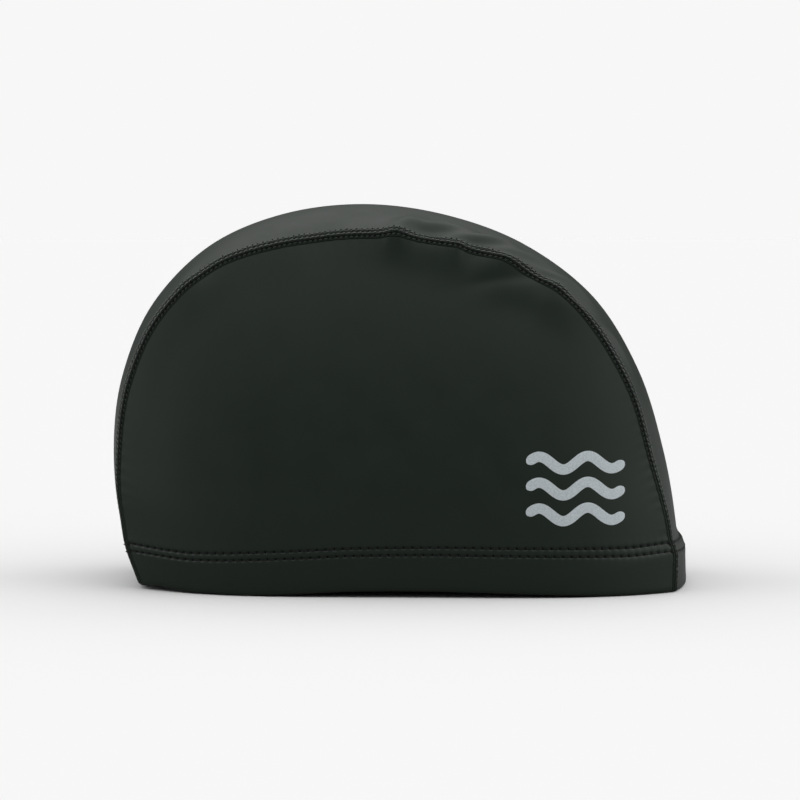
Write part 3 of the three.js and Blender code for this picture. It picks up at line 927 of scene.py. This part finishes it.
def band_mesh(side, pitch):
    """A closed band along the seam, rounded where it turns under the rim."""
    start, end = seam_ends(side)
    radius = (HEM_WALL + BAND_FOLD_EXTRA) / 2

    def half_rows(step, columns, inner):
        """Rows from the nape's rim to the forehead's."""
        place = np.linspace(-SEAM_HALF_WIDTH, SEAM_HALF_WIDTH, columns + 1)
        fold = fold_rows(radius)[1 if inner else 0 :]
        plan = [(start + r, inset) for r, inset in fold]
        plan += [(r, 0.0) for r in np.arange(start + radius, end - radius, step)]
        plan += [(end - r, inset) for r, inset in fold[::-1]]
        made = []
        for run, inset in plan:
            if inner:
                above_hem = smoothstep(min(run, RUN[-1] - run), HEM_HEIGHT, HEM_HEIGHT + 1)
                height = inset - WALL - (HEM_WALL - WALL) * (1 - above_hem) - BAND_BACK
            else:
                height = band_height(place, run, pitch) - inset
            path = np.full(columns + 1, run)
            made.append(seam_face(path, seam_across(path, place), height, side)[0])
        return made

    return closed_shell(half_rows(pitch / 5, 40, False), half_rows(1.6, 6, True))


def seam_stitches(side, pitch):
    """How many stitches a seam takes, and where along it the first one starts."""
    start, end = seam_ends(side)
    first = math.ceil((start + UNSEWN) / pitch) * pitch
    return int((end - first - UNSEWN) / pitch), first


# The share of the needle holes with a bite over the panel's edge, and a bite's shortest length, how much
# longer it gets, how unevenly it is spaced, and how far it leans.
BITES, BITE_SHORT, BITE_MORE, BITE_SPREAD, BITE_LEAN = 0.55, 0.55, 0.6, 0.15, 0.15

# How unevenly the threads lie over the band, and how far their ends dive, in the furrows and on the ridges.
PLACE_SPREAD, RIDGE_SPREAD = 0.05, 0.06
THREAD_DIVE, RIDGE_DIVE = 0.2, 0.24

# The threads on the ridge nearest the side panel, and on the two nearer the crown: the ridge, their length in
# stitches, and how far they lean and stand proud.
LOWEST_RIDGE = (-RIDGE, 0.5, 0.3, 0.25)
COVER_RIDGES = ((RIDGE, 0.78, 0.1, 0.34), (0.0, 0.72, 0.16, 0.32))


def laid_threads(side, run, place, height, radius):
    path, up = seam_face(run, seam_across(run, place), height, side)
    return tubes(path, up, radius, 6)


def sunk_thread_mesh(side, pitch, radius, dice):
    """Needle threads down in the furrows, bites over the centre panel's edge, and the lowest ridge's threads."""
    count, first = seam_stitches(side, pitch)
    k = np.arange(count)[:, None]
    share = np.linspace(0.06, 0.94, 6)
    parts = []
    for needle in NEEDLES:
        place = needle + dice.normal(0, PLACE_SPREAD, (count, 1))
        floor = band_height(needle, first + (k + 0.5) * pitch, pitch)
        height = floor - THREAD_DIVE * (2 * share - 1) ** 4 + 0.5 * radius
        parts.append(laid_threads(side, first + (k + share) * pitch, place, height, 1.1 * radius))
    kept = np.flatnonzero(dice.random(count) < BITES)[:, None]
    out = np.linspace(0.0, 1.0, 6)
    length = BITE_SHORT + BITE_MORE * dice.random((len(kept), 1)) ** 2
    run = first + kept * pitch + dice.normal(0, BITE_SPREAD, (len(kept), 1)) + BITE_LEAN * out
    # A bite comes up out of the furrow, arches over the edge and dives into the cloth.
    height = -0.25 + 1.5 * out - 1.4 * out**2
    parts.append(laid_threads(side, run, FURROW - 0.1 + length * out, height, 0.9 * radius))
    parts.append(ridge_threads(side, pitch, 1.2 * radius, dice, *LOWEST_RIDGE))
    return joined(parts)


def ridge_threads(side, pitch, radius, dice, ridge, long, lean, proud):
    """Short lengths of thread along one ridge, which lie deeper in the cloth towards the hem."""
    count, first = seam_stitches(side, pitch)
    share = np.linspace(-0.5, 0.5, 7)
    length = pitch * long * (1 + dice.normal(0, 0.1, (count, 1)))
    middle = first + (np.arange(count)[:, None] + 0.5) * pitch + dice.normal(0, RIDGE_SPREAD, (count, 1))
    place = ridge + dice.normal(0, RIDGE_SPREAD, (count, 1)) + lean * 2 * share
    deeper = DEEPER * (1 - smoothstep(seam_height(middle), DEEPER_FROM, DEEPER_TO))
    height = proud - deeper + 0.7 * radius - RIDGE_DIVE * (2 * share) ** 4
    return laid_threads(side, middle + length * share, place, height, radius)


def cover_thread_mesh(side, pitch, radius, dice):
    """The lengths of cover thread along the two ridges nearer the crown."""
    return joined([ridge_threads(side, pitch, radius, dice, *ridge) for ridge in COVER_RIDGES])


class SWIMCAP_OT_flatlock_seams(bpy.types.Operator):
    """Make both flatlock seams: the raised band of each, and the threads sewn over it"""

    bl_idname = "swim_cap.flatlock_seams"
    bl_label = "Flatlock seams"

    def execute(self, context):
        sizes, colours = settings(context)
        cloth, sunk, cover = coated_knit(colours), textured_thread(colours), filament_thread(colours)
        pitch, radius = sizes.seam_stitch / MM, sizes.thread_thickness / MM / 2
        dice = np.random.default_rng(11)
        for name, side in SIDES.items():
            band = add_piece(f"seam_{name}_band", *band_mesh(side, pitch), [cloth], "thread")
            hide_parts(f"flatlock_seam_{name}")
            mesh = sunk_thread_mesh(side, pitch, radius, dice)
            add_piece(f"seam_{name}_sunk_threads", *mesh, [sunk], "thread")
            mesh = cover_thread_mesh(side, pitch, 1.4 * radius, dice)
            add_piece(f"seam_{name}_cover_threads", *mesh, [cover], "thread")
        return {"FINISHED"}


# ---- hem stitches

# The dark knot of thread in each hole of the hem, wider than the thread, which also paints the shade in the
# hole's pit: its radius, its half height, and how deep its middle lies.
PIT_SHADE_KNOT_RADIUS, PIT_SHADE_KNOT_HEIGHT, PIT_SHADE_KNOT_DEPTH = 0.55, 0.1925, 0.4

# Shares along one stitch of the hem, and how high its thread runs there over the hem's plain surface.
STITCH_SHARE = np.array([0.0, 0.1, 0.22, 0.5, 0.78, 0.9, 1.0])
STITCH_HEIGHT = np.array([-0.62, -0.3, -0.1, -0.04, -0.1, -0.3, -0.62])

# The stitch over the end of a seam: how far it reaches on both sides, from where its ends dive, how deep they
# lie, and how high it runs between them.
CROSSING_REACH, CROSSING_DIVE, CROSSING_DEPTH, CROSSING_HEIGHT = 2.2, 1.9, 0.35, 0.5


def row_stitches(part, h, pitch, radius):
    length, even = row_line(part, h, pitch)
    count = round(length[-1] / even)
    share = np.interp((np.arange(count)[:, None] + STITCH_SHARE) * even, length, SHARES)
    return tubes(*hem_face(part, share, h, -STITCH_HEIGHT - 0.4 * radius), radius, 8)


def crossing_stitch(side, front, h, radius):
    """The stitch that takes a hem's row over the end of a flatlock seam."""
    across = np.linspace(-CROSSING_REACH, CROSSING_REACH, 11)
    seam_x = strip_point(LAST if front else 0, side)[0]
    run = np.full_like(across, run_at(station_at(hem_z(seam_x, h), float(side), front)))
    height = np.where(np.abs(across) > CROSSING_DIVE, -CROSSING_DEPTH, CROSSING_HEIGHT) + 0.5 * radius
    path, up = seam_face(run, across, height, side)
    return tubes(path[None], up[None], radius, 8)


def knots_as_pit_shade(part, h, pitch):
    """A small flattened dark knot of sunk thread at each hole where the thread of a row enters the cloth, made
    wider than the thread so that it paints the shade of the hole's pit.
    """
    length, even = row_line(part, h, pitch)
    share = np.interp(np.arange(round(length[-1] / even) + 1) * even, length, SHARES)
    point, normal = hem_face(part, share, h)
    along = unit(np.cross(normal, [0.0, 0.0, 1.0]))
    turn = round_turn(8)
    round_knot = np.cos(turn) * along[:, None] + np.sin(turn) * np.cross(normal, along)[:, None]
    rings = []
    for lean in (math.pi / 4, math.pi / 2, 3 * math.pi / 4):
        up = PIT_SHADE_KNOT_HEIGHT * math.cos(lean) - PIT_SHADE_KNOT_DEPTH
        rings.append(point[:, None] + PIT_SHADE_KNOT_RADIUS * math.sin(lean) * round_knot + up * normal[:, None])
    return ring_shapes(np.stack(rings, 1))


class SWIMCAP_OT_hem_stitches(bpy.types.Operator):
    """Make the two rows of stitches that hold the turned-in hem, on each panel and over the seams"""

    bl_idname = "swim_cap.hem_stitches"
    bl_label = "Hem stitches"

    def execute(self, context):
        sizes, colours = settings(context)
        finishes = [spun_thread(colours), textured_thread(colours)]
        pitch, radius = sizes.hem_stitch / MM, sizes.thread_thickness / MM / 2
        for part in (*SIDES, *ENDS):
            stitches = [row_stitches(part, h, pitch, radius) for h in ROWS]
            if part in SIDES:
                ends = [(front, h) for h in ROWS for front in (False, True)]
                stitches += [crossing_stitch(SIDES[part], front, h, radius) for front, h in ends]
            # Each hole's knot, in the near-black sunk thread, is partly real thread and partly painted shade for
            # the pit.
            pit_shade_knots = [knots_as_pit_shade(part, h, pitch) for h in ROWS]
            points, faces = joined(stitches + pit_shade_knots)
            second = (sum(len(stitch) for stitch, _ in stitches), len(points))
            add_piece(f"hem_stitches_{part}", points, faces, finishes, "thread", second)
        return {"FINISHED"}


# ---- print


class SWIMCAP_OT_printed_waves(bpy.types.Operator):
    """Make three plain wavy lines of pale ink near the forehead on the wearer's right"""

    bl_idname = "swim_cap.printed_waves"
    bl_label = "Printed waves"

    def execute(self, context):
        sizes, colours = settings(context)
        middle_x, middle_z = 67.0, 40.5
        width, wave, rise, apart = 36.0, 18.0, 2.4, 9.5
        # The film stands this proud of the cloth, and reaches this deep into it.
        film, rooted = 0.05, 0.12
        half_stroke = sizes.wave_stroke / MM / 2
        along = np.linspace(-width / 2, width / 2, 97)
        parts = []
        for line in (-1, 0, 1):
            middle = rise * np.sin(2 * math.pi * along / wave)
            slope = rise * 2 * math.pi / wave * np.cos(2 * math.pi * along / wave)
            # Each stroke ends in a half round.
            from_end = np.minimum(along + width / 2, width / 2 - along)
            half = half_stroke * np.sqrt(1 - np.clip(1 - from_end / half_stroke, 0, 0.98) ** 2)
            lean = np.hypot(1, slope)
            outer, inner = [], []
            for over in np.linspace(-1, 1, 9):
                x = middle_x + along - over * half * slope / lean
                z = middle_z + line * apart + middle + over * half / lean
                outer.append(panel_face(x, z, RIGHT, -film * (1 - 0.6 * over**4))[0])
                inner.append(panel_face(x, z, RIGHT, rooted)[0])
            parts.append(closed_shell(outer, inner))
        add_piece("printed_waves", *joined(parts), [screen_print_ink(colours)], "coated_fabric")
        return {"FINISHED"}


# ---- stage


def studio_world():
    """Soft light from a wide bank above and a low one at each end, with a pale backdrop behind the cap."""
    world = bpy.data.worlds.new("studio")
    world.use_nodes = True
    tree = world.node_tree
    tree.nodes.clear()
    way = add_node(tree, "TexCoord").outputs["Generated"]
    axes = add_node(tree, "SeparateXYZ", {"Vector": way})
    # Each bank by its axis, where it starts and is full along it, and its least and greatest strength.
    strength = 0.0
    for axis, edge, full, least, most in (
        ("Z", 0.15, 0.95, 0.02, 1.44),
        ("X", -0.5, -1.0, 0.0, 1.6),
        ("X", 0.45, 0.95, 0.0, 1.3),
    ):
        reach = {"Value": axes.outputs[axis], "From Min": edge, "From Max": full, "To Min": least, "To Max": most}
        bank = add_node(tree, "MapRange", reach, interpolation_type="SMOOTHSTEP").outputs["Result"]
        strength = add_node(tree, "Math", {0: strength, 1: bank}, operation="ADD").outputs["Value"]
    light = add_node(tree, "Background", {"Color": (1, 1, 1, 1), "Strength": strength})
    backdrop = add_node(tree, "Background", {"Color": (*srgb("f7f7f7"), 1), "Strength": 1.0})
    seen = add_node(tree, "LightPath").outputs["Is Camera Ray"]
    both = add_node(tree, "MixShader", {0: seen, 1: light.outputs[0], 2: backdrop.outputs[0]})
    add_node(tree, "OutputWorld", {"Surface": both.outputs[0]})
    bpy.context.scene.world = world


class SWIMCAP_OT_studio(bpy.types.Operator):
    """Make the paper floor, the soft light and the camera"""

    bl_idname = "swim_cap.studio"
    bl_label = "Studio"

    def execute(self, context):
        scene = context.scene
        floor_mesh = bpy.data.meshes.new("paper_floor")
        floor_radius = 6.0
        shape = bmesh.new()
        bmesh.ops.create_circle(shape, cap_ends=True, radius=floor_radius, segments=96)
        shape.to_mesh(floor_mesh)
        shape.free()
        floor_mesh.materials.append(studio_paper(settings(context)[1]))
        floor = bpy.data.objects.new("paper_floor", floor_mesh)
        scene.collection.objects.link(floor)
        studio_world()
        scene.view_settings.view_transform = "Standard"

        azimuth, elevation, distance = math.radians(2.5), math.radians(4.0), 1.3
        back = Vector((
            math.sin(azimuth) * math.cos(elevation),
            -math.cos(azimuth) * math.cos(elevation),
            math.sin(elevation),
        ))
        aim = Vector((-0.00025, 0.0, 0.0694))
        camera = bpy.data.objects.new("camera", bpy.data.cameras.new("camera"))
        camera.data.sensor_width = 36.0
        camera.data.lens = 151.8
        camera.location = aim + back * distance
        camera.rotation_euler = back.to_track_quat("Z", "Y").to_euler()
        scene.collection.objects.link(camera)
        scene.camera = camera
        return {"FINISHED"}


# ---- add-on


def length_property(name, description, default):
    return FloatProperty(name=name, description=description, default=default, subtype="DISTANCE", unit="LENGTH")


def colour_property(name, description, hex_color):
    return FloatVectorProperty(
        name=name, description=description, default=srgb(hex_color), subtype="COLOR", size=3, min=0.0, max=1.0
    )


class SwimCapSizes(bpy.types.PropertyGroup):
    """Sizes of the sewing and the print"""

    hem_stitch: length_property("Hem stitch", "Length of one stitch in the hem's two rows", 0.0032)
    seam_stitch: length_property("Seam stitch", "Length of one stitch in the flatlock seams", 0.00195)
    thread_thickness: length_property("Thread", "Thickness of the sewing thread", 0.00034)
    wave_stroke: length_property("Wave stroke", "Width of one printed wavy line", 0.0038)


class SwimCapColours(bpy.types.PropertyGroup):
    """Colours of the cloth, thread, ink and paper"""

    coat: colour_property("Coat", "Colour of the fabric's coated face", "121e15")
    knit: colour_property("Knit", "Colour of the bare knit inside", "2a2d2b")
    thread: colour_property("Sunk thread", "Colour of the threads pulled down into the cloth", "0b0d0b")
    # This colour, much lighter than the coat's, partly paints the satin highlight on the seams' stitches.
    cover_thread_and_sheen: colour_property("Cover thread", "Colour of the threads along the seams' ridges", "4a504b")
    hem_thread: colour_property("Hem thread", "Colour of the hem's threads between the holes", "161a17")
    ink: colour_property("Ink", "Colour of the printed waves", "ced7db")
    paper: colour_property("Paper", "Colour of the studio floor", "e3e3e3")


class SWIMCAP_PT_tools(bpy.types.Panel):
    """The cap's sizes and colours, and the steps that build it"""

    bl_idname = "SWIMCAP_PT_tools"
    bl_label = "Swim cap"
    bl_space_type = "VIEW_3D"
    bl_region_type = "UI"
    bl_category = "Swim cap"

    def draw(self, context):
        for group in settings(context):
            column = self.layout.column()
            for name in group.__annotations__:
                column.prop(group, name)
        for step in STEPS:
            self.layout.operator(step.bl_idname)


STEPS = (
    SWIMCAP_OT_fabric_panels,
    SWIMCAP_OT_flatlock_seams,
    SWIMCAP_OT_hem_stitches,
    SWIMCAP_OT_printed_waves,
    SWIMCAP_OT_studio,
)
CLASSES = (SwimCapSizes, SwimCapColours, *STEPS, SWIMCAP_PT_tools)


def register():
    for each in CLASSES:
        bpy.utils.register_class(each)
    bpy.types.Scene.swim_cap_sizes = PointerProperty(type=SwimCapSizes)
    bpy.types.Scene.swim_cap_colours = PointerProperty(type=SwimCapColours)


def unregister():
    del bpy.types.Scene.swim_cap_colours
    del bpy.types.Scene.swim_cap_sizes
    for each in reversed(CLASSES):
        bpy.utils.unregister_class(each)


def main():
    register()
    bpy.ops.swim_cap.fabric_panels()
    bpy.ops.swim_cap.flatlock_seams()
    bpy.ops.swim_cap.hem_stitches()
    bpy.ops.swim_cap.printed_waves()
    bpy.ops.swim_cap.studio()


if __name__ == "__main__":
    main()
